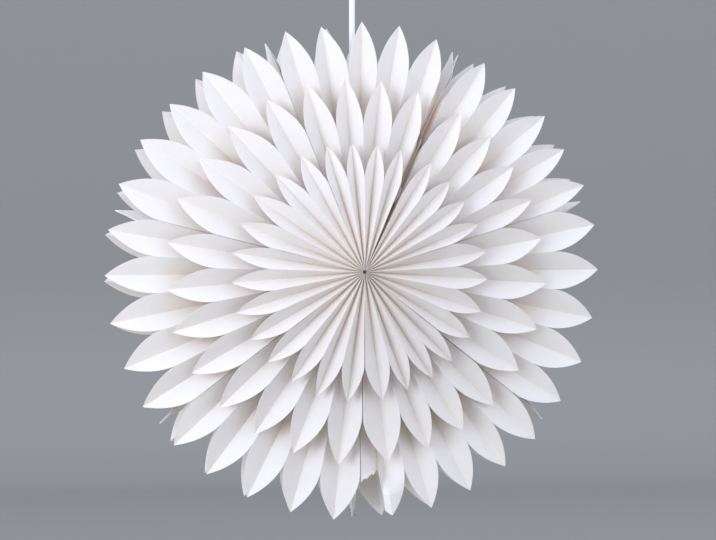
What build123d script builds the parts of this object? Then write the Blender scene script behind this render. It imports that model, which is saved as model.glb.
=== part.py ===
from build123d import *
from math import cos, radians, sin, tan
import os

# Folded paper star pendant: seven pleated paper segments round a lamp, on a cord.
# Millimetres, +Z up. The origin is on the ceiling, on the axis of the cord.
# The front of the star faces -Y. Star angles run clockwise from the top, seen from the front.

# Ceiling fitting
canopy_radius = 45.0
canopy_height = 45.0
canopy_wall = 1.5
bracket_clearance = 1.5
bracket_width = 22.0
bracket_thickness = 2.0
bracket_leg_height = 18.0
fixing_spacing = 60.0
fixing_hole_radius = 2.5
canopy_screw_radius = 2.0
canopy_screw_head_radius = 3.8
canopy_screw_head_height = 2.4
canopy_screw_length = 9.0
canopy_screw_drop = 10.0

# Cord and its grip
cord_diameter = 6.0
cord_clearance = 0.3
cord_seat_clearance = 0.7
grip_hole_radius = 7.0
grip_collar_radius = 8.5
grip_collar_height = 5.0
grip_flange_radius = 11.0
grip_flange_height = 3.0
grip_nose_radius = 6.0
grip_nose_height = 14.0
cord_to_star = 300.0

# Lampholder and bulb, E14 size
holder_radius = 14.0
holder_length = 52.0
holder_neck_radius = 8.0
holder_neck_height = 14.0
holder_wall = 2.0
holder_top_above_centre = 100.0
cord_entry_depth = 12.0
bulb_cap_radius = 7.0
bulb_cap_length = 25.0
bulb_globe_radius = 22.5
bulb_neck_radius = 6.5
bulb_neck_length = 10.0
bulb_glass_wall = 0.8
bulb_top_drop = 10.0

# Wire that hangs the star on the lampholder
wire_radius = 1.0
wire_end_overhang = 4.0
wire_hook_length = 8.0
wire_drop = 19.0

# Paper star: a seam between two segments at each angle
seam_angles = [26.0, 73.0, 127.5, 180.0, 232.0, 284.5, 339.0]
seam_gap = 0.15
flange_depth = 15.0
flange_thickness = 0.6
notch_splay = 4.0

# Card rib glued in each seam, with a cover on each side of the bottom seam
rib_thickness = 1.0
cover_thickness = 0.8
cover_gap = 0.3
rib_inner_radius = 75.0
rib_tip_radius = 244.0
rib_below_ridge = 7.0
rib_step = 7.0
rib_tip_bulge = 3.5

# Thread that ties the two covers of the bottom seam
tie_thread_radius = 0.6
tie_loop_radius = 6.0
tie_hole_radius = 1.6
tie_knot_radius = 2.2
tie_tail_length = 7.0
tie_below_tip = 2.0

# Each tier of pleats. The sheet starts at start_radius. Its petals meet in notches and end in tips.
# A ridge line and a valley line fall from the start to the tip radius. The sheet's depth is its
# thickness along the star's axis, which is more where the folds are steep.
tiers = {
    "inner": {
        "petals": 4,
        "start_radius": 18.0,
        "notch_radius": 91.0,
        "tip_radius": 125.0,
        "ridge_start_height": 102.0,
        "ridge_end_height": 80.0,
        "valley_start_height": 85.0,
        "valley_end_height": 68.0,
        "start_depth": 3.0,
        "end_depth": 0.9,
    },
    "middle": {
        "petals": 4,
        "start_radius": 68.0,
        "notch_radius": 145.0,
        "tip_radius": 188.0,
        "ridge_start_height": 70.0,
        "ridge_end_height": 56.0,
        "valley_start_height": 53.0,
        "valley_end_height": 42.0,
        "start_depth": 1.4,
        "end_depth": 0.8,
    },
    "outer": {
        "petals": 5,
        "start_radius": 125.0,
        "notch_radius": 205.0,
        "tip_radius": 247.0,
        "ridge_start_height": 43.0,
        "ridge_end_height": 32.0,
        "valley_start_height": 29.0,
        "valley_end_height": 20.0,
        "start_depth": 1.0,
        "end_depth": 0.8,
    },
}

canopy_bottom = -canopy_height
swing_height = canopy_bottom - grip_flange_height - grip_nose_height
star_height = swing_height - cord_to_star
cord_radius = cord_diameter / 2
holder_top = star_height + holder_top_above_centre
holder_bottom = holder_top - holder_length
wire_height = holder_top - wire_drop
shared_gap = rib_thickness / 2 + seam_gap
cover_outside = cover_gap / 2 + cover_thickness + seam_gap
cover_middle = cover_gap / 2 + cover_thickness / 2

nodes = {}


def ring_solid(points):
    """A solid turned about Z from a closed outline of (radius, height) points."""
    outline = Polyline(*[(r, 0, z) for r, z in points], close=True)
    return revolve(make_face(outline), Axis.Z)


def rod(start, end, radius):
    """A round rod between two points."""
    axis = Vector(*end) - Vector(*start)
    plane = Plane(origin=start, z_dir=axis)
    return plane * Cylinder(radius, axis.length, align=(Align.CENTER, Align.CENTER, Align.MIN))


def polar(angle, radius):
    """A point of the star's plane, by its angle from the top and its radius."""
    return Vector(radius * sin(radians(angle)), 0, radius * cos(radians(angle)))


def fold_height(tier, line, radius):
    """The height of a tier's ridge or valley line at a radius. It is straight from start to tips."""
    start = tier[line + "_start_height"]
    end = tier[line + "_end_height"]
    share = (radius - tier["start_radius"]) / (tier["tip_radius"] - tier["start_radius"])
    return start + (end - start) * share


def pleat_section(tier, half_angle, gap_left, gap_right, distance, depth):
    """The zigzag of the sheet where a plane cuts it square to the segment's middle line.

    It has a ridge at each end and between petals, a valley on each petal's middle line,
    and a flange at each end that turns down along the seam.
    """
    folds = 2 * tier["petals"]
    middle = []
    for i in range(folds + 1):
        angle = radians(half_angle * (2 * i / folds - 1))
        line = "valley" if i % 2 else "ridge"
        x = distance * tan(angle)
        if i == 0:
            x += gap_left / cos(angle)
        if i == folds:
            x -= gap_right / cos(angle)
        middle.append((x, fold_height(tier, line, distance / cos(angle))))
    upper = [(x, h + depth / 2) for x, h in middle]
    lower = [(x, h - depth / 2) for x, h in middle]

    def flange(end, beside):
        """The outer foot, inner foot and inner top of the strip that turns down at one end."""
        inward = flange_thickness if beside[0] > end[0] else -flange_thickness
        share = inward / (beside[0] - end[0])
        foot = end[1] - flange_depth
        inner_top = (end[0] + inward, end[1] + (beside[1] - end[1]) * share)
        return [(end[0], foot), (end[0] + inward, foot), inner_top]

    right_flange = flange(lower[-1], lower[-2])
    left_flange = flange(lower[0], lower[1])
    outline = upper + right_flange + lower[-2:0:-1] + left_flange[::-1]
    return Wire.make_polygon([Vector(x, -h, distance) for x, h in outline], close=True)


def petal_outline(tier, half_angle):
    """The pointed arches of a segment's petals, as a face that reaches in to the star's middle.

    The sides of an arch are arcs. In a notch each leaves the ridge by the angle notch_splay.
    """
    petals = tier["petals"]
    step = 2 * half_angle / petals
    beyond = half_angle + step / 4
    notch = tier["notch_radius"]
    corners = [polar(-half_angle, notch)]
    for i in range(petals):
        corners.append(polar(-half_angle + (i + 0.5) * step, tier["tip_radius"]))
        corners.append(polar(-half_angle + (i + 1) * step, notch))
    outside = [corners[-1], polar(beyond, notch), Vector(0, 0, 0), polar(-beyond, notch), corners[0]]
    edges = [Polyline(*outside)]
    for i, (a, b) in enumerate(zip(corners, corners[1:])):
        in_notch, at_tip = (b, a) if i % 2 else (a, b)
        arc_turn = (at_tip - in_notch).get_angle(in_notch) - notch_splay
        bulge = tan(radians(arc_turn / 2)) / 2
        outward = Vector(a.Z - b.Z, 0, b.X - a.X)
        edges.append(ThreePointArc(a, (a + b) / 2 + outward * bulge, b))
    return make_face(edges)


def pleated_fan(tier, left_angle, right_angle, gap_left, gap_right):
    """One tier of one segment's front: a folded sheet cut to its petals."""
    half_angle = (right_angle - left_angle) / 2
    start = tier["start_radius"]
    beyond_tips = 1.02 * tier["tip_radius"]
    near = pleat_section(tier, half_angle, gap_left, gap_right, start, tier["start_depth"])
    far = pleat_section(tier, half_angle, gap_left, gap_right, beyond_tips, tier["end_depth"])
    sheet = Solid.make_loft([near, far], ruled=True)
    cutter = extrude(petal_outline(tier, half_angle), 2 * tier["ridge_start_height"], dir=(0, -1, 0))
    petals = sheet & cutter
    return Pos(0, 0, star_height) * Rot(0, (left_angle + right_angle) / 2, 0) * petals


def rib_profile():
    """The (radius, half width) corners of a rib. It is below each tier's ridge and steps down between."""
    corners = []
    start = rib_inner_radius
    for tier in tiers.values():
        end = tier["notch_radius"]
        for radius in (start, end):
            corners.append((radius, fold_height(tier, "ridge", radius) - rib_below_ridge))
        start = end + rib_step
    return corners


def seam_blade(angle, thickness, offset):
    """A leaf of card in a seam's plane, moved off that plane towards larger angles by offset."""
    corners = rib_profile()
    shoulder, half_width = corners[-1]
    middle = (shoulder + rib_tip_radius) / 2
    edges = [Line((0, -corners[0][1], corners[0][0]), (0, corners[0][1], corners[0][0]))]
    for side in (-1, 1):
        edges.append(Polyline(*[(0, side * width, radius) for radius, width in corners]))
        bulged = (0, side * (half_width / 2 + rib_tip_bulge), middle + rib_tip_bulge)
        edges.append(ThreePointArc((0, side * half_width, shoulder), bulged, (0, 0, rib_tip_radius)))
    leaf = extrude(make_face(edges), thickness / 2, dir=(1, 0, 0), both=True)
    return Pos(0, 0, star_height) * Rot(0, angle, 0) * Pos(offset, 0, 0) * leaf


def make_ceiling_fitting():
    bracket_length = 2 * (canopy_radius - canopy_wall - bracket_clearance)
    strap = Pos(0, 0, -bracket_thickness / 2) * Box(bracket_length, bracket_width, bracket_thickness)
    for side in (-1, 1):
        leg_x = side * (bracket_length - bracket_thickness) / 2
        leg_box = Box(bracket_thickness, bracket_width, bracket_leg_height)
        leg = Pos(leg_x, 0, -bracket_leg_height / 2) * leg_box
        hole = Pos(side * fixing_spacing / 2, 0, 0) * Cylinder(fixing_hole_radius, 4 * bracket_thickness)
        screw_hole = rod((0, 0, -canopy_screw_drop), (side * canopy_radius, 0, -canopy_screw_drop),
                         canopy_screw_radius + seam_gap)
        strap = strap + leg - hole - screw_hole
    nodes["ceiling_bracket"] = strap

    inner = canopy_radius - canopy_wall
    cup = ring_solid([(grip_hole_radius, canopy_bottom), (canopy_radius, canopy_bottom),
                      (canopy_radius, 0), (inner, 0), (inner, canopy_bottom + canopy_wall),
                      (grip_hole_radius, canopy_bottom + canopy_wall)])
    rim = cup.edges().filter_by(GeomType.CIRCLE).sort_by(Axis.Z)
    outer_rim = [e for e in rim if abs(e.radius - canopy_radius) < 0.01 and e.center().Z < -1]
    cup = fillet(outer_rim, canopy_wall * 0.9)
    screws = []
    for side in (-1, 1):
        screw_z = -canopy_screw_drop
        screw_way = rod((side * inner / 2, 0, screw_z), (side * 2 * canopy_radius, 0, screw_z),
                        canopy_screw_radius + seam_gap)
        cup = cup - screw_way
        head_x = side * (canopy_radius + seam_gap)
        slot_x = head_x + side * canopy_screw_head_height
        shank_end = (head_x - side * canopy_screw_length, 0, screw_z)
        shank = rod(shank_end, (head_x, 0, screw_z), canopy_screw_radius)
        head = rod((head_x, 0, screw_z), (slot_x, 0, screw_z), canopy_screw_head_radius)
        slot = Box(canopy_screw_head_height, 1.0, 3 * canopy_screw_head_radius)
        screws.append(shank + head - Pos(slot_x, 0, screw_z) * slot)
    nodes["canopy"] = cup
    nodes["canopy_screws"] = Compound(children=screws)

    collar_top = canopy_bottom + canopy_wall + grip_collar_height
    flange_top = canopy_bottom - seam_gap
    collar_foot = canopy_bottom + canopy_wall + seam_gap
    flange_foot = canopy_bottom - grip_flange_height
    neck_radius = grip_hole_radius - seam_gap
    grip = ring_solid([(0, flange_foot), (grip_flange_radius, flange_foot),
                       (grip_flange_radius, flange_top), (neck_radius, flange_top),
                       (neck_radius, collar_foot), (grip_collar_radius, collar_foot),
                       (grip_hole_radius - 1, collar_top), (0, collar_top)])
    nose = ring_solid([(0, swing_height), (grip_nose_radius, swing_height),
                       (grip_flange_radius - 2, flange_foot), (0, flange_foot)])
    seat_mouth = Pos(0, 0, swing_height) * Sphere(cord_radius + cord_seat_clearance)
    nodes["cord_grip"] = grip + nose - seat_mouth


def make_cord():
    end_height = holder_top - cord_entry_depth
    length = swing_height - end_height
    straight = rod((0, 0, end_height), (0, 0, swing_height), cord_radius)
    nodes["cord"] = straight + Pos(0, 0, swing_height) * Sphere(cord_radius)
    print("cord: straight run", round(length, 1), "mm, no bends")


def make_lamp():
    hole = cord_radius + cord_clearance
    socket = bulb_cap_radius + cord_clearance
    cap_top = holder_top - holder_neck_height - bulb_top_drop - cord_clearance
    floor = cap_top + cord_clearance
    neck_foot = holder_top - holder_neck_height
    holder = ring_solid([(0, floor), (socket, floor), (socket, holder_bottom + 6),
                         (holder_radius - holder_wall, holder_bottom + 3),
                         (holder_radius - holder_wall, holder_bottom), (holder_radius, holder_bottom),
                         (holder_radius, neck_foot - 3), (holder_radius - 3, neck_foot),
                         (holder_neck_radius, neck_foot), (holder_neck_radius, holder_top),
                         (0, holder_top)])
    entry_foot = holder_top - cord_entry_depth - cord_clearance
    entry = rod((0, 0, entry_foot), (0, 0, holder_top + cord_entry_depth), hole)
    wire_way = rod((-2 * holder_radius, 0, wire_height), (2 * holder_radius, 0, wire_height),
                   wire_radius + seam_gap)
    nodes["lampholder"] = holder - entry - wire_way

    cap_foot = cap_top - bulb_cap_length
    cap = ring_solid([(0, cap_foot), (bulb_neck_radius, cap_foot), (bulb_cap_radius, cap_foot + 2),
                      (bulb_cap_radius, cap_top - 6), (bulb_cap_radius - 3, cap_top - 2), (2.5, cap_top - 1),
                      (2.5, cap_top), (0, cap_top)])
    nodes["bulb_cap"] = cap
    globe_height = cap_foot - bulb_neck_length - bulb_globe_radius * 0.9
    outside = Pos(0, 0, globe_height) * Sphere(bulb_globe_radius)
    inside = Pos(0, 0, globe_height) * Sphere(bulb_globe_radius - bulb_glass_wall)
    neck = rod((0, 0, globe_height), (0, 0, cap_foot), bulb_neck_radius)
    bore = rod((0, 0, globe_height), (0, 0, cap_foot - bulb_glass_wall), bulb_neck_radius - bulb_glass_wall)
    nodes["bulb_glass"] = outside + neck - inside - bore


def rib_crossing(angle):
    """How far from the cord's axis the rib at an angle is, at the height of the wire."""
    return (wire_height - star_height) * abs(tan(radians(angle)))


def make_spreader_wire():
    left = rib_crossing(seam_angles[-1]) + wire_end_overhang
    right = rib_crossing(seam_angles[0]) + wire_end_overhang
    bar = rod((-left, 0, wire_height), (right, 0, wire_height), wire_radius)
    for x in (-left, right):
        bar = bar + Pos(x, 0, wire_height) * Sphere(wire_radius)
        bar = bar + rod((x, 0, wire_height), (x, 0, wire_height - wire_hook_length), wire_radius)
    nodes["spreader_wire"] = bar


def make_ribs():
    wire_hole = rod((-2 * rib_inner_radius, 0, wire_height), (2 * rib_inner_radius, 0, wire_height),
                    wire_radius + cord_clearance)
    for number, angle in enumerate(seam_angles, start=1):
        if angle == 180.0:
            tie_height = star_height - rib_tip_radius + tie_below_tip + tie_loop_radius
            tie_hole = rod((-tie_loop_radius, 0, tie_height), (tie_loop_radius, 0, tie_height),
                           tie_hole_radius)
            nodes["seam_cover_right"] = seam_blade(angle, cover_thickness, -cover_middle) - tie_hole
            nodes["seam_cover_left"] = seam_blade(angle, cover_thickness, cover_middle) - tie_hole
            continue
        rib = seam_blade(angle, rib_thickness, 0)
        if number in (1, len(seam_angles)):
            rib = rib - wire_hole
        nodes[f"seam_rib_{number}"] = rib


def make_fans():
    names = ["top", "upper_right", "right", "lower_right", "lower_left", "left", "upper_left"]
    for name, left, right in zip(names, seam_angles[-1:] + seam_angles[:-1], seam_angles):
        gap_left = cover_outside if left == 180.0 else shared_gap
        gap_right = cover_outside if right == 180.0 else shared_gap
        first = left - 360 if left > right else left
        for level, tier in tiers.items():
            fan = pleated_fan(tier, first, right, gap_left, gap_right)
            nodes[f"{name}_front_{level}_petals"] = fan
            nodes[f"{name}_back_{level}_petals"] = mirror(fan, about=Plane.XZ)


def make_seam_tie():
    middle_height = star_height - rib_tip_radius + tie_below_tip
    loop = Pos(0, 0, middle_height) * Rot(90, 0, 0) * Torus(tie_loop_radius, tie_thread_radius)
    foot = middle_height - tie_loop_radius
    knot = Pos(0, 0, foot) * Sphere(tie_knot_radius)
    tie = loop + knot
    for side in (-1, 1):
        tail_end = (side * tie_tail_length, -tie_tail_length / 2, foot - tie_tail_length / 2)
        tie = tie + rod((0, 0, foot), tail_end, tie_thread_radius)
    nodes["seam_tie"] = tie


make_ceiling_fitting()
make_cord()
make_lamp()
make_spreader_wire()
make_ribs()
make_fans()
make_seam_tie()

os.makedirs("parts", exist_ok=True)
for name, shape in nodes.items():
    export_step(shape, f"parts/{name}.step")
print(len(nodes), "pieces written")
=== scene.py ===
import math

import bpy
import numpy as np
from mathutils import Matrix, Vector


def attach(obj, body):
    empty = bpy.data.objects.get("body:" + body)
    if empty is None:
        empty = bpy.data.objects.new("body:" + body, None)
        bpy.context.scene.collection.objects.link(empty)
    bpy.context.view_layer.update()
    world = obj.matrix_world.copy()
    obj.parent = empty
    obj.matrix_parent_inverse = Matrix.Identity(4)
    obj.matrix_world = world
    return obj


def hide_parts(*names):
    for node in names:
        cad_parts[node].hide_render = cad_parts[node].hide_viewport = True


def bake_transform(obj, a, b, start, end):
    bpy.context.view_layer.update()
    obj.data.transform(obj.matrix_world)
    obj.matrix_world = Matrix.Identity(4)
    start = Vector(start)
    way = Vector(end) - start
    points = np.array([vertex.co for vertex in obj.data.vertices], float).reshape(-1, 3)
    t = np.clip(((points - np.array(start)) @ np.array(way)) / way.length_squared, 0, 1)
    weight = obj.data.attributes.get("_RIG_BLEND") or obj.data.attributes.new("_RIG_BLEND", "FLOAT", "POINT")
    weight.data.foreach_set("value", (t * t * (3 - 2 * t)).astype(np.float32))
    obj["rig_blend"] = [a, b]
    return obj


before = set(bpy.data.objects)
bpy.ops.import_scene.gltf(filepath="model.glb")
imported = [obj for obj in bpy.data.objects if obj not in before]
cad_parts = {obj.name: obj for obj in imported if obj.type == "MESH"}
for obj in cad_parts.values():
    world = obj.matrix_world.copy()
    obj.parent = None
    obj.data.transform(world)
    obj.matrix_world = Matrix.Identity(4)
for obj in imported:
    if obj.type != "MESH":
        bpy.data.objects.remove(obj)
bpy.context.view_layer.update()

# ---------------------------------------------------------------------------------------------
# Camera. It stands level with the star and a little to the left of its axis, 2.4 m away, so that
# one pixel of a 716 by 540 picture is one millimetre at the star.
# ---------------------------------------------------------------------------------------------
STAR_CENTRE = np.array([0.0, 0.0, -0.362])
VIEW_TURN = math.radians(7.0)
VIEW_DISTANCE = 2.4
FRAME_WIDTH = 0.716
SENSOR_WIDTH_MM = 36.0
AIM_RIGHT = 0.006
AIM_UP = 0.002

camera_data = bpy.data.cameras.new("camera")
camera_data.sensor_width = SENSOR_WIDTH_MM
camera_data.lens = SENSOR_WIDTH_MM * VIEW_DISTANCE / FRAME_WIDTH
camera_data.clip_end = 20.0
camera = bpy.data.objects.new("camera", camera_data)
bpy.context.scene.collection.objects.link(camera)
camera_right = np.array([math.cos(VIEW_TURN), -math.sin(VIEW_TURN), 0.0])
camera_forward = np.array([math.sin(VIEW_TURN), math.cos(VIEW_TURN), 0.0])
aim = STAR_CENTRE + AIM_RIGHT * camera_right + np.array([0.0, 0.0, AIM_UP])
camera.location = aim - VIEW_DISTANCE * camera_forward
camera.rotation_euler = (math.pi / 2, 0.0, -VIEW_TURN)
bpy.context.scene.camera = camera


# ---------------------------------------------------------------------------------------------
# Studio. A plain grey floor that curves up into a backdrop behind the star, a large soft lamp to
# the left of the camera, a weaker and larger one to its right, and a bright even room light.
# ---------------------------------------------------------------------------------------------
FLOOR_HEIGHT = -0.95
FLOOR_FRONT = -6.0
BACKDROP_PLACE = 4.6
BACKDROP_RADIUS = 0.6
BACKDROP_HEIGHT = 3.5
BACKDROP_HALF_WIDTH = 5.0


def grid_object(name, points, closed_across=False):
    """A quad mesh from an array of points, rows by columns by 3. Each quad joins four neighbours of
    the grid, and closed_across also joins the last column to the first."""
    rows, columns = points.shape[:2]
    index = np.arange(rows * columns).reshape(rows, columns)
    after = np.roll(index, -1, axis=1) if closed_across else index[:, 1:]
    before = index if closed_across else index[:, :-1]
    quads = np.stack([before[:-1], after[:-1], after[1:], before[1:]], axis=-1).reshape(-1, 4)
    mesh = bpy.data.meshes.new(name)
    mesh.from_pydata(points.reshape(-1, 3).tolist(), [], quads.tolist())
    mesh.update()
    made = bpy.data.objects.new(name, mesh)
    bpy.context.scene.collection.objects.link(made)
    return made


def plain_material(name, colour, roughness, metallic=0.0):
    """A new Principled material, returned with its node tree and its shader."""
    material = bpy.data.materials.new(name)
    material.use_nodes = True
    shader = material.node_tree.nodes["Principled BSDF"]
    shader.inputs["Base Color"].default_value = (*colour, 1.0)
    shader.inputs["Roughness"].default_value = roughness
    shader.inputs["Metallic"].default_value = metallic
    return material, material.node_tree, shader


turn = np.linspace(0.0, math.pi / 2, 17)
curve_y = BACKDROP_PLACE - BACKDROP_RADIUS * (1 - np.sin(turn))
curve_z = FLOOR_HEIGHT + BACKDROP_RADIUS * (1 - np.cos(turn))
sweep_y = np.concatenate([[FLOOR_FRONT], curve_y, [BACKDROP_PLACE]])
sweep_z = np.concatenate([[FLOOR_HEIGHT], curve_z, [BACKDROP_HEIGHT]])
across = np.linspace(-BACKDROP_HALF_WIDTH, BACKDROP_HALF_WIDTH, 3)
sweep = np.stack(np.broadcast_arrays(across[None, :], sweep_y[:, None], sweep_z[:, None]), axis=-1)
backdrop = grid_object("backdrop", sweep)
backdrop.data.polygons.foreach_set("use_smooth", np.ones(len(backdrop.data.polygons), bool))
pale_backdrop = plain_material("pale_backdrop", (0.34, 0.325, 0.295), 0.9)[0]
backdrop.data.materials.append(pale_backdrop)


def soft_lamp(name, place, target, size, power, colour):
    """A square area lamp at place, facing target."""
    data = bpy.data.lights.new(name, "AREA")
    data.shape = "SQUARE"
    data.size = size
    data.energy = power
    data.color = colour
    lamp = bpy.data.objects.new(name, data)
    bpy.context.scene.collection.objects.link(lamp)
    lamp.location = place
    away = np.array(place) - np.array(target)
    tilt = math.acos(away[2] / np.linalg.norm(away))
    lamp.rotation_euler = (tilt, 0.0, math.atan2(away[0], -away[1]))


soft_lamp("key_lamp", (-1.9, -1.7, -0.12), STAR_CENTRE, 1.5, 38.0, (0.815, 0.875, 1.0))
soft_lamp("fill_lamp", (1.9, -2.8, 0.0), STAR_CENTRE, 2.2, 28.0, (0.80, 0.87, 1.0))
world = bpy.data.worlds.new("room")
world.use_nodes = True
world.node_tree.nodes["Background"].inputs["Color"].default_value = (0.755, 0.825, 1.0, 1.0)
world.node_tree.nodes["Background"].inputs["Strength"].default_value = 1.24
bpy.context.scene.world = world
bpy.context.scene.view_settings.view_transform = "Standard"


# ---------------------------------------------------------------------------------------------
# Folded paper. Each of the seven segments has six sheets, three tiers in front and three behind.
# They are cut from white uncoated paper, folded into ridges and valleys, and glued at the seams.
# ---------------------------------------------------------------------------------------------
# Each segment's bodies, the angles of its seams, the angles of its first and last ridge, which lie
# off the seams where the glued edges stand open, and how far its inner folds are turned behind.
# Angles are in degrees from the top.
SEGMENTS = {
    "top": (("lamp_and_top",), (-21.0, 26.0), (-21.0, 23.8), 1.7),
    "upper_right": (("lamp_and_top", "right_fold_1"), (26.0, 73.0), (27.3, 73.0), -0.8),
    "right": (("right_fold_1", "right_fold_2"), (73.0, 127.5), (73.0, 127.4), -0.2),
    "lower_right": (("right_fold_2", "right_fold_3"), (127.5, 180.0), (127.6, 175.8), -0.5),
    "lower_left": (("left_fold_3", "left_fold_2"), (180.0, 232.0), (178.9, 232.0), -0.2),
    "left": (("left_fold_2", "left_fold_1"), (232.0, 284.5), (232.0, 284.5), -0.7),
    "upper_left": (("left_fold_1", "lamp_and_top"), (284.5, 339.0), (284.5, 339.0), -1.4),
}
# Each tier's count of petals, its radii, the heights of its ridge and valley lines at the start and
# at the tips, how round its petals are, its rows, and how strong the painted shade in its folds is
# and how far out it reaches.
TIERS = {
    "inner": {
        "petals": 4, "start": 0.0021, "notch": 0.0885, "tip": 0.126,
        "ridge": (0.1035, 0.080), "valley": (0.0945, 0.066), "round": 0.64, "steps": 34,
        "painted_shade": 1.0, "painted_shade_reach": 0.66,
    },
    "middle": {
        "petals": 4, "start": 0.066, "notch": 0.142, "tip": 0.189,
        "ridge": (0.071, 0.055), "valley": (0.053, 0.041), "round": 0.62, "steps": 26,
        "painted_shade": 0.85, "painted_shade_reach": 0.55,
    },
    "outer": {
        "petals": 5, "start": 0.122, "notch": 0.198, "tip": 0.247,
        "ridge": (0.0435, 0.031), "valley": (0.029, 0.0195), "round": 0.58, "steps": 26,
        "painted_shade": 0.85, "painted_shade_reach": 0.6,
    },
}
PAPER_THICKNESS = 0.00026
COLUMN_CROWDING = 1.6
FOLD_JITTER = 0.3
EDGE_JITTER = 0.0011
EDGE_JITTER_LIMIT = 0.002
LIFT_JITTER = 0.0009
PLEAT_BOW = 0.0011
RIDGE_GAP = 0.00023
RIDGE_GAP_REACH = 0.02
RIB_GAP = 0.0009
COVER_GAP = 0.0014
FOOT_GAP_REACH = 0.075
FLANGE_DEPTH = 0.013
LEANING_FLANGE_DEPTH = 0.006
LEANING_ANGLE = 0.5
BOTTOM_SEAM = 180.0
FLANGE_TAPER = 0.016
FLANGE_TAPER_ROUND = 0.7
RIDGE_PAINTED_SHADE_SHARE = 0.2
PAINTED_SHADE_ROUND = 1.6
DEPTH_SHARE_AT_AXIS = 0.3
FULL_DEPTH_RADIUS = 0.075
TORN_SHEET = "lower_right_front_outer_petals"
TORN_SEGMENT_EDGE = 178.7
SPREAD_BEHIND_TEAR = 3.0
FRONT_TWIST = 0.3
HALF_PLEAT_STEPS = 8
TORN_PLEAT_STEPS = 44
TORN_SHEET_ROWS = 80
TORN_STRIP_FROM = 0.78
TORN_RADIUS = 0.2075
TORN_SLOPE = 0.013
TORN_ROUND = 0.8
TORN_JITTER = 0.0011
SPRUNG_FROM = 0.196
SPRUNG_WITHIN = 0.026
SPRUNG_HEIGHT = 0.025
SPRUNG_SHORTER = 0.005


def paper_material():
    """White uncoated paper: fibres and a faint cloudiness from two noises, a soft sheen, and a
    little light passing through it. It takes a little blue out of the light, so it looks white
    where the light falls on it and beige where the light has bounced more often. A fold attribute
    mixes a painted beige brown shade into the colour deep in the folds near the axis and on the
    glued strips at the seams, where these recesses lie in shade."""
    material, tree, shader = plain_material("star_paper", (0.93, 0.91, 0.885), 0.72)
    nodes, links = tree.nodes, tree.links
    place = nodes.new("ShaderNodeTexCoord")
    cloud = nodes.new("ShaderNodeTexNoise")
    cloud.inputs["Scale"].default_value = 38.0
    cloud.inputs["Detail"].default_value = 4.0
    fibre = nodes.new("ShaderNodeTexNoise")
    fibre.inputs["Scale"].default_value = 620.0
    fibre.inputs["Detail"].default_value = 5.0
    fibre.inputs["Distortion"].default_value = 1.2
    tint = nodes.new("ShaderNodeValToRGB")
    tint.color_ramp.elements[0].position = 0.3
    tint.color_ramp.elements[0].color = (0.922, 0.886, 0.838, 1.0)
    tint.color_ramp.elements[1].position = 0.7
    tint.color_ramp.elements[1].color = (0.95, 0.917, 0.873, 1.0)
    links.new(place.outputs["Object"], cloud.inputs["Vector"])
    links.new(place.outputs["Object"], fibre.inputs["Vector"])
    links.new(cloud.outputs["Fac"], tint.inputs["Fac"])
    painted_shade = nodes.new("ShaderNodeAttribute")
    painted_shade.attribute_name = "painted_fold_shade"
    # Painted shade: where the fold attribute is high, the paper colour is mixed towards this beige brown.
    painted_shade_colour = nodes.new("ShaderNodeMix")
    painted_shade_colour.data_type = "RGBA"
    painted_shade_colour.inputs["B"].default_value = (0.78, 0.60, 0.42, 1.0)
    links.new(painted_shade.outputs["Fac"], painted_shade_colour.inputs["Factor"])
    links.new(tint.outputs["Color"], painted_shade_colour.inputs["A"])
    links.new(painted_shade_colour.outputs["Result"], shader.inputs["Base Color"])
    bump = nodes.new("ShaderNodeBump")
    bump.inputs["Strength"].default_value = 0.16
    bump.inputs["Distance"].default_value = 0.0002
    links.new(fibre.outputs["Fac"], bump.inputs["Height"])
    wave = nodes.new("ShaderNodeBump")
    wave.inputs["Strength"].default_value = 0.35
    wave.inputs["Distance"].default_value = 0.0012
    links.new(cloud.outputs["Fac"], wave.inputs["Height"])
    links.new(bump.outputs["Normal"], wave.inputs["Normal"])
    links.new(wave.outputs["Normal"], shader.inputs["Normal"])
    through = nodes.new("ShaderNodeBsdfTranslucent")
    through.inputs["Color"].default_value = (0.95, 0.87, 0.78, 1.0)
    links.new(wave.outputs["Normal"], through.inputs["Normal"])
    mixed = nodes.new("ShaderNodeMixShader")
    mixed.inputs["Fac"].default_value = 0.3
    links.new(shader.outputs["BSDF"], mixed.inputs[1])
    links.new(through.outputs["BSDF"], mixed.inputs[2])
    links.new(mixed.outputs["Shader"], nodes["Material Output"].inputs["Surface"])
    return material


star_paper = paper_material()


def across_folds(folds, steps):
    """Places of the columns, in folds from the left edge, and how far each is from its ridge
    towards its valley, from 0 to 1. Columns crowd at the ridges, where the cut edge is steep."""
    near_ridge = np.linspace(0.0, 1.0, steps + 1) ** COLUMN_CROWDING
    near_end = 1.0 - near_ridge[::-1]
    places = []
    for fold in range(folds):
        places.append(fold + (near_end if fold % 2 else near_ridge)[:-1])
    place = np.concatenate(places + [[float(folds)]])
    fold = np.minimum(place.astype(int), folds - 1)
    within = place - fold
    return place, fold, within, np.where(fold % 2, 1.0 - within, within)


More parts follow.
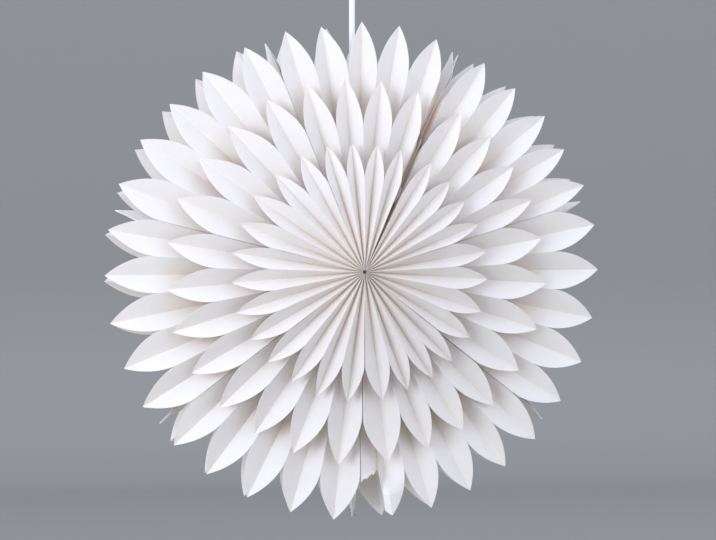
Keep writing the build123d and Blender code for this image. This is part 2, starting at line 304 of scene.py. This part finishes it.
def folded_sheet(tier, folds_at, edges_at, seams_at, seed, twist, spread, steps, torn):
    """Points of one folded sheet, as rows along the radius by columns across the folds, with the
    share of the segment's angle that each column lies at, and how much painted shade each point takes.

    Columns run over the folds, ridge, valley, ridge and so on. Between two folds the paper is
    straight but for a slight bow. Each column goes out from the start to an edge radius, which
    rises from the notch on a ridge to the tip on a valley by a power of the distance between them.
    A point's height is the ridge line's and the valley line's height at its radius, mixed by how
    far it is between the folds. The folds are pressed flatter near the axis. At each seam a last
    strip turns down to the card rib, and ends in a point. The inner folds are turned by twist, and
    by spread times the cube of their share of the sheet. What is left of a torn petal's tip has
    sprung forwards, so its crease stands out where the others lie deep.
    """
    random = np.random.default_rng(seed)
    folds = 2 * tier["petals"]
    angles = np.linspace(folds_at[0], folds_at[1], folds + 1)
    angles[1:-1] += twist + spread * np.linspace(0.0, 1.0, folds + 1)[1:-1] ** 3
    angles[1:-1] += random.normal(0.0, FOLD_JITTER, folds - 1)
    angles[0], angles[-1] = edges_at
    reach = np.where(np.arange(folds + 1) % 2, tier["tip"], tier["notch"])
    uneven = random.normal(0.0, EDGE_JITTER, folds + 1)
    reach = reach + uneven.clip(-EDGE_JITTER_LIMIT, EDGE_JITTER_LIMIT)
    lift = random.normal(0.0, LIFT_JITTER, folds + 1)
    fold_place, fold, within, toward_valley = across_folds(folds, steps)
    fold_numbers = np.arange(folds + 1)
    angle = np.interp(fold_place, fold_numbers, angles)
    tip_reach = np.where(fold % 2, reach[fold], reach[fold + 1])
    notch_reach = np.where(fold % 2, reach[fold + 1], reach[fold])
    edge = notch_reach + (tip_reach - notch_reach) * toward_valley ** tier["round"]
    if torn:
        edge = edge - SPRUNG_SHORTER * toward_valley * (fold_place > folds - 2)
        edge = torn_away(edge, fold_place > folds - 1, toward_valley, random)
    along = np.linspace(0.0, 1.0, TORN_SHEET_ROWS if torn else tier["steps"])[:, None]
    radius = tier["start"] + (edge[None, :] - tier["start"]) * along
    share_out = (radius - tier["start"]) / (tier["tip"] - tier["start"])
    ridge = tier["ridge"][0] + (tier["ridge"][1] - tier["ridge"][0]) * share_out
    valley = tier["valley"][0] + (tier["valley"][1] - tier["valley"][0]) * share_out
    deepening = np.clip(radius / FULL_DEPTH_RADIUS, 0.0, 1.0)
    flattened = DEPTH_SHARE_AT_AXIS + (1.0 - DEPTH_SHARE_AT_AXIS) * deepening
    height = ridge + (valley - ridge) * flattened * toward_valley[None, :]
    height += np.interp(fold_place, fold_numbers, lift)[None, :] * share_out
    height += PLEAT_BOW * np.sin(math.pi * within)[None, :] * share_out
    if torn:
        sprung = np.clip((radius - SPRUNG_FROM) / SPRUNG_WITHIN, 0.0, 1.0)
        sprung = sprung * sprung * (3.0 - 2.0 * sprung)
        height += SPRUNG_HEIGHT * sprung * (toward_valley * (fold_place > folds - 2))[None, :]
    turned = np.radians(angle)[None, :] + np.zeros_like(radius)
    points = np.stack([radius * np.sin(turned), height, radius * np.cos(turned)], axis=-1)
    feet = []
    for column, side in ((0, 1.0), (-1, -1.0)):
        edge_angle, seam = edges_at[column], seams_at[column]
        turned_edge = math.radians(edge_angle)
        square = np.array([math.cos(turned_edge), 0.0, -math.sin(turned_edge)])
        ridge_gap = RIDGE_GAP * np.clip(radius[:, column, None] / RIDGE_GAP_REACH, 0.0, 1.0)
        points[:, column] += side * ridge_gap * square
        along_seam = np.array([math.sin(math.radians(seam)), 0.0, math.cos(math.radians(seam))])
        off_seam = np.array([along_seam[2], 0.0, -along_seam[0]])
        gap = COVER_GAP if seam == BOTTOM_SEAM else RIB_GAP
        gap = gap * np.clip(radius[:, column, None] / FOOT_GAP_REACH, 0.0, 1.0)
        leans_over = side * (edge_angle - seam) < -LEANING_ANGLE
        depth = LEANING_FLANGE_DEPTH if leans_over else FLANGE_DEPTH
        foot = radius[:, column, None] * along_seam + side * gap * off_seam
        foot[:, 1] = points[:, column, 1] - depth
        taper = np.clip((edge[column] - radius[:, column, None]) / FLANGE_TAPER, 0.0, 1.0)
        taper = taper**FLANGE_TAPER_ROUND
        foot = points[:, column] + (foot - points[:, column]) * taper
        feet.append(foot[:, None, :])
    points = np.concatenate([feet[0], points, feet[1]], axis=1)
    share = np.clip((angle - seams_at[0]) / (seams_at[1] - seams_at[0]), 0.0, 1.0)
    share = np.concatenate([[0.0], share, [1.0]])
    # Painted shade: strongest in the valleys, weaker on the ridges, fading out along the radius, and full on
    # the glued strips at the seams, for the shade deep in the folds and seams.
    deep_share = toward_valley[None, :] ** PAINTED_SHADE_ROUND
    deep_painted_shade = RIDGE_PAINTED_SHADE_SHARE + (1.0 - RIDGE_PAINTED_SHADE_SHARE) * deep_share
    painted_shade = tier["painted_shade"] * deep_painted_shade * np.clip(1.0 - share_out / tier["painted_shade_reach"], 0.0, 1.0)
    painted_shade = np.pad(painted_shade, ((0, 0), (1, 1)), constant_values=1.0)
    return points, share, painted_shade


def torn_away(edge, in_last_pleat, toward_valley, random):
    """The edge radii of a sheet whose last half petal is torn off along a ragged line. A narrow
    strip of it is left along the crease."""
    ragged = TORN_RADIUS - TORN_SLOPE * toward_valley**TORN_ROUND
    ragged = ragged + random.normal(0.0, TORN_JITTER, len(edge))
    gone = in_last_pleat & (toward_valley < TORN_STRIP_FROM)
    return np.where(gone, ragged, edge)


def sheet_object(name, points, share, painted_shade, front):
    """The sheet as a mesh in the object's own frame: its height is along -Y in front and +Y
    behind. A Solidify gives it the paper's thickness."""
    placed = points.copy()
    placed[..., 1] *= -1.0 if front else 1.0
    placed += STAR_CENTRE
    if not front:
        placed = placed[:, ::-1]
        share, painted_shade = share[::-1], painted_shade[:, ::-1]
    made = grid_object(name, placed)
    # Painted shade for the folds and seam strips, one value a point, read by the paper material.
    painted_fold_shade = made.data.attributes.new("painted_fold_shade", "FLOAT", "POINT")
    painted_fold_shade.data.foreach_set("value", painted_shade.ravel().astype(np.float32))
    wall = made.modifiers.new("paper", "SOLIDIFY")
    wall.thickness = PAPER_THICKNESS
    wall.offset = 0.0
    made.data.materials.append(star_paper)
    return made, np.broadcast_to(share[None, :], placed.shape[:2])


for number, (segment, (bodies, seams, folds_at, back_twist)) in enumerate(SEGMENTS.items()):
    for level, (tier_name, tier) in enumerate(TIERS.items()):
        for front in (True, False):
            face = "front" if front else "back"
            node = f"{segment}_{face}_{tier_name}_petals"
            torn = node == TORN_SHEET
            spread = SPREAD_BEHIND_TEAR if segment == "lower_right" and not front else 0.0
            last_edge = TORN_SEGMENT_EDGE if segment == "lower_right" else folds_at[1]
            grid, share, painted_shade = folded_sheet(
                tier, folds_at, (folds_at[0], last_edge), seams,
                100 * number + 10 * level + front, FRONT_TWIST if front else back_twist, spread,
                TORN_PLEAT_STEPS if torn else HALF_PLEAT_STEPS, torn,
            )
            sheet, weights = sheet_object(f"{node}_paper", grid, share, painted_shade, front)
            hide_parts(node)
            if len(bodies) == 1:
                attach(sheet, bodies[0])
                continue
            ends = []
            for angle in seams:
                turned = math.radians(angle)
                out = tier["tip"] * np.array([math.sin(turned), 0.0, math.cos(turned)])
                ends.append(tuple(STAR_CENTRE + out))
            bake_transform(sheet, bodies[0], bodies[1], start=ends[0], end=ends[1])
            fold_share = sheet.data.attributes["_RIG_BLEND"]
            fold_share.data.foreach_set("value", weights.ravel().astype(np.float32))


# ---------------------------------------------------------------------------------------------
# Seam card. A leaf of two layers of white card is glued in each seam between two segments, and a
# cover on each side of the bottom seam. The layers part and twist a little at their tips. Their
# colour is a beige darker than the paper, partly painted shade for the shade in the seams.
# ---------------------------------------------------------------------------------------------
def grained_material(
    name, low, high, roughness, grain_scale, grain_depth, metallic=0.0, stretch=(1, 1, 1)
):
    """A material whose colour runs between low and high with a noise, which also raises its
    surface by grain_depth. Stretch draws the grain out along the axes with small numbers."""
    material, tree, shader = plain_material(name, high, roughness, metallic)
    nodes, links = tree.nodes, tree.links
    place = nodes.new("ShaderNodeTexCoord")
    scaled = nodes.new("ShaderNodeMapping")
    scaled.inputs["Scale"].default_value = stretch
    grain = nodes.new("ShaderNodeTexNoise")
    grain.inputs["Scale"].default_value = grain_scale
    grain.inputs["Detail"].default_value = 5.0
    tint = nodes.new("ShaderNodeValToRGB")
    tint.color_ramp.elements[0].position = 0.35
    tint.color_ramp.elements[0].color = (*low, 1.0)
    tint.color_ramp.elements[1].position = 0.65
    tint.color_ramp.elements[1].color = (*high, 1.0)
    bump = nodes.new("ShaderNodeBump")
    bump.inputs["Strength"].default_value = 0.2
    bump.inputs["Distance"].default_value = grain_depth
    links.new(place.outputs["Object"], scaled.inputs["Vector"])
    links.new(scaled.outputs["Vector"], grain.inputs["Vector"])
    links.new(grain.outputs["Fac"], tint.inputs["Fac"])
    links.new(tint.outputs["Color"], shader.inputs["Base Color"])
    links.new(grain.outputs["Fac"], bump.inputs["Height"])
    links.new(bump.outputs["Normal"], shader.inputs["Normal"])
    return material


def dress(node, material):
    """Gives a CAD node's own mesh one material in every slot."""
    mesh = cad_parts[node].data
    mesh.materials.clear()
    mesh.materials.append(material)


# Painted shade in part: this beige, darker than the paper, stands partly for the shade in the seams.
seam_card = grained_material(
    "seam_card", (0.84, 0.79, 0.73), (0.91, 0.87, 0.82), 0.78, 480.0, 0.0002
)
LEAF_START = 0.075
LEAF_SHOULDER = 0.203
LEAF_TIP = 0.2435
LEAF_BELOW_RIDGE = 0.012
LEAF_STEP = 0.007
LEAF_THICKNESS = 0.0004
LEAF_APART = 0.0005
LEAF_TIP_ROUND = 1.3
LEAF_TWIST_FROM = 0.19
LEAF_TWIST_WITHIN = 0.035
LEAF_ROWS = 70
LEAF_COLUMNS = 13
# Each leaf's body and seam angle, how far its two layers twist at the tip, in degrees, and how far
# their tips lie to the side of the seam, in metres.
LEAVES = {
    "seam_rib_1": ("lamp_and_top", 26.0, (-14.0, -3.0), (-0.0055, 0.0005)),
    "seam_rib_2": ("right_fold_1", 73.0, (-15.0, -19.0), (0.0, 0.0)),
    "seam_rib_3": ("right_fold_2", 127.5, (14.0, 10.0), (0.0, 0.0)),
    "seam_rib_5": ("left_fold_2", 232.0, (-12.0, -16.0), (0.0, 0.0)),
    "seam_rib_6": ("left_fold_1", 284.5, (16.0, 20.0), (0.0, 0.0)),
    "seam_rib_7": ("lamp_and_top", 339.0, (-8.0, -13.0), (0.0, 0.0)),
}


def ridge_height(tier, radius):
    """The height of a tier's ridge line at a radius. It is straight from the start to the tips."""
    return np.interp(radius, [tier["start"], tier["tip"]], tier["ridge"])


def card_leaf(name, angle, twist, lean, side):
    """One layer of a seam's leaf. Its half width stays below the ridge lines, with a step from tier
    to tier, and ends in a pointed arch. Towards the tip the layer turns by twist about its middle
    line, as a smooth step of the radius, and beyond the shoulder it bends to the side by lean."""
    corner_radii, corner_widths = [], []
    start = LEAF_START
    for tier in TIERS.values():
        end = min(tier["notch"], LEAF_SHOULDER)
        for radius in (start, end):
            corner_radii.append(radius)
            corner_widths.append(ridge_height(tier, radius) - LEAF_BELOW_RIDGE)
        start = end + LEAF_STEP
    radius = np.linspace(LEAF_START, LEAF_TIP, LEAF_ROWS)
    past_shoulder = np.clip((radius - LEAF_SHOULDER) / (LEAF_TIP - LEAF_SHOULDER), 0.0, 1.0)
    narrowing = 1.0 - past_shoulder**LEAF_TIP_ROUND
    half_width = np.interp(radius, corner_radii, corner_widths) * narrowing
    step = np.clip((radius - LEAF_TWIST_FROM) / LEAF_TWIST_WITHIN, 0.0, 1.0)
    turned = math.radians(twist) * step * step * (3.0 - 2.0 * step)
    across_leaf = np.linspace(-1.0, 1.0, LEAF_COLUMNS)[None, :] * half_width[:, None]
    along_seam = np.array([math.sin(math.radians(angle)), 0.0, math.cos(math.radians(angle))])
    off_seam = np.array([along_seam[2], 0.0, -along_seam[0]])
    points = radius[:, None, None] * along_seam
    level = across_leaf * np.cos(turned)[:, None]
    points = points + level[..., None] * np.array([0.0, 1.0, 0.0])
    bend = lean * past_shoulder**2
    beside = across_leaf * np.sin(turned)[:, None] + bend[:, None] + side * LEAF_APART / 2
    points = points + beside[..., None] * off_seam
    leaf = grid_object(name, points + STAR_CENTRE)
    wall = leaf.modifiers.new("card", "SOLIDIFY")
    wall.thickness = LEAF_THICKNESS
    wall.offset = 0.0
    leaf.data.materials.append(seam_card)
    return leaf


for node, (body, angle, twists, leans) in LEAVES.items():
    for side, layer, twist, lean in zip((-1.0, 1.0), ("near", "far"), twists, leans):
        leaf = card_leaf(f"{node}_{layer}_layer", angle, twist, lean, side)
        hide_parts(node)
        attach(leaf, body)
dress("seam_cover_left", seam_card)
dress("seam_cover_right", seam_card)


# ---------------------------------------------------------------------------------------------
# Seam tie. A thin thread goes through the feet of both covers of the bottom seam and is knotted
# below them, with two short ends. It is dark grey cotton.
# ---------------------------------------------------------------------------------------------
TIE_HEIGHT = -0.601
TIE_LOOP_RADIUS = 0.0023
TIE_THREAD_RADIUS = 0.0004
TIE_KNOT_SIZE = 0.0009
TIE_TAIL_LENGTH = 0.0048
TIE_TAIL_FORWARD = 0.002
TIE_TAIL_FALL = 0.0026
TIE_TAIL_DROOP = 1.7


def tube_object(name, path, radius, sides=10):
    """A round tube along a path of points. Each ring of it lies square to the path's direction,
    on two axes carried along the path without turning about it."""
    path = np.asarray(path, float)
    direction = np.gradient(path, axis=0)
    direction /= np.linalg.norm(direction, axis=1)[:, None]
    first = np.cross(direction[0], (0.31, 0.87, 0.38))
    axes = []
    for step in direction:
        first = first - step * np.dot(first, step)
        first = first / np.linalg.norm(first)
        axes.append((first, np.cross(step, first)))
    axes = np.array(axes)
    round_angle = np.linspace(0.0, 2 * math.pi, sides, endpoint=False)
    first_share = np.cos(round_angle)[None, :, None] * axes[:, None, 0]
    ring = first_share + np.sin(round_angle)[None, :, None] * axes[:, None, 1]
    wall = path[:, None, :] + radius * ring
    ends = [np.repeat(path[end][None, None, :], sides, axis=1) for end in (0, -1)]
    made = grid_object(name, np.concatenate([ends[0], wall, ends[1]], axis=0), closed_across=True)
    made.data.polygons.foreach_set("use_smooth", np.ones(len(made.data.polygons), bool))
    return made


tie_thread = grained_material(
    "tie_thread", (0.16, 0.155, 0.15), (0.40, 0.39, 0.37), 0.85, 900.0, 0.0002
)
tie_middle = np.array([0.0, 0.0, TIE_HEIGHT])
tie_foot = tie_middle - np.array([0.0, 0.0, TIE_LOOP_RADIUS])
open_share = np.linspace(0.02, 0.98, 60) * 2 * math.pi
loop_path = tie_middle + TIE_LOOP_RADIUS * np.stack(
    [-np.sin(open_share), 0.06 * np.sin(2 * open_share), -np.cos(open_share)], axis=1
)
knot_turn = np.linspace(0.0, 2 * math.pi, 90)
knot_path = tie_foot + TIE_KNOT_SIZE * np.stack(
    [
        np.sin(knot_turn) + 0.7 * np.sin(2 * knot_turn),
        -0.6 * np.sin(3 * knot_turn),
        np.cos(knot_turn) - 0.7 * np.cos(2 * knot_turn),
    ],
    axis=1,
)
tie_paths = {"tie_loop": loop_path, "tie_knot": knot_path}
tail_share = np.linspace(0.0, 1.0, 16)
for side, tail in ((-1.0, "tie_tail_left"), (1.0, "tie_tail_right")):
    run = [side * TIE_TAIL_LENGTH * tail_share, -TIE_TAIL_FORWARD * tail_share]
    fall = -TIE_TAIL_FALL * tail_share**TIE_TAIL_DROOP
    tie_paths[tail] = tie_foot + np.stack([*run, fall], axis=1)
for name, path in tie_paths.items():
    thread = tube_object(name, path, TIE_THREAD_RADIUS)
    thread.data.materials.append(tie_thread)
    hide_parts("seam_tie")
    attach(thread, "left_fold_3")


# ---------------------------------------------------------------------------------------------
# Cord. A straight 6 mm white lighting cord with a smooth plastic sheath, from the grip under the
# canopy down to the lampholder, whose neck clamps it.
# ---------------------------------------------------------------------------------------------
CORD_TOP = -0.062
CORD_LENGTH = 0.212
CORD_DIAMETER = 0.006

cord_line = bpy.data.curves.new("hanging_cord_sheath", "CURVE")
cord_line.dimensions = "3D"
cord_line.bevel_depth = CORD_DIAMETER / 2
cord_line.bevel_resolution = 6
cord_line.use_fill_caps = True
spline = cord_line.splines.new("NURBS")
spline.points.add(4)
for point, share in zip(spline.points, np.linspace(0.0, 1.0, 5)):
    point.co = (0.0, 0.0, CORD_TOP - CORD_LENGTH * share, 1.0)
spline.order_u = 3
spline.use_endpoint_u = True
cord_piece = bpy.data.objects.new("hanging_cord_sheath", cord_line)
bpy.context.scene.collection.objects.link(cord_piece)
cord_sheath = grained_material(
    "cord_sheath", (0.84, 0.84, 0.83), (0.89, 0.89, 0.88), 0.38, 240.0, 0.00005
)
cord_line.materials.append(cord_sheath)
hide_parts("cord")
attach(cord_piece, "hanging_cord")


# ---------------------------------------------------------------------------------------------
# Ceiling fitting. A pressed steel canopy with satin white paint hangs by two side screws on a
# zinc plated bracket, and a white nylon grip in its foot clamps the cord.
# ---------------------------------------------------------------------------------------------
canopy_paint = grained_material(
    "canopy_paint", (0.84, 0.84, 0.83), (0.87, 0.87, 0.86), 0.36, 300.0, 0.00006
)
canopy_shader = canopy_paint.node_tree.nodes["Principled BSDF"]
canopy_shader.inputs["Coat Weight"].default_value = 0.25
bracket_steel = grained_material(
    "bracket_steel", (0.50, 0.50, 0.47), (0.66, 0.66, 0.64), 0.34, 120.0, 0.00004, 1.0
)
screw_steel = grained_material(
    "screw_steel", (0.66, 0.66, 0.64), (0.78, 0.78, 0.77), 0.24, 500.0, 0.00003, 1.0
)
white_plastic = grained_material(
    "white_plastic", (0.82, 0.82, 0.80), (0.86, 0.86, 0.84), 0.42, 420.0, 0.00005
)
dress("canopy", canopy_paint)
dress("ceiling_bracket", bracket_steel)
dress("canopy_screws", screw_steel)
dress("cord_grip", white_plastic)


# ---------------------------------------------------------------------------------------------
# Lamp. A moulded white lampholder on the cord carries a small opal globe bulb with a nickel
# plated cap. A drawn steel wire through the holder's neck hangs the star on it.
# ---------------------------------------------------------------------------------------------
wire_steel = grained_material(
    "wire_steel", (0.58, 0.58, 0.57), (0.72, 0.72, 0.71), 0.28, 260.0, 0.00003, 1.0, (0.05, 1, 1)
)
cap_metal = grained_material(
    "bulb_cap_metal", (0.70, 0.68, 0.64), (0.80, 0.79, 0.76), 0.30, 200.0, 0.00003, 1.0, (0.2, 0.2, 1)
)
opal_glass = grained_material(
    "bulb_opal_glass", (0.90, 0.89, 0.86), (0.93, 0.92, 0.90), 0.16, 60.0, 0.00002
)
glass_shader = opal_glass.node_tree.nodes["Principled BSDF"]
glass_shader.inputs["Subsurface Weight"].default_value = 0.35
glass_shader.inputs["Subsurface Scale"].default_value = 0.004
dress("lampholder", white_plastic)
dress("spreader_wire", wire_steel)
dress("bulb_cap", cap_metal)
dress("bulb_glass", opal_glass)
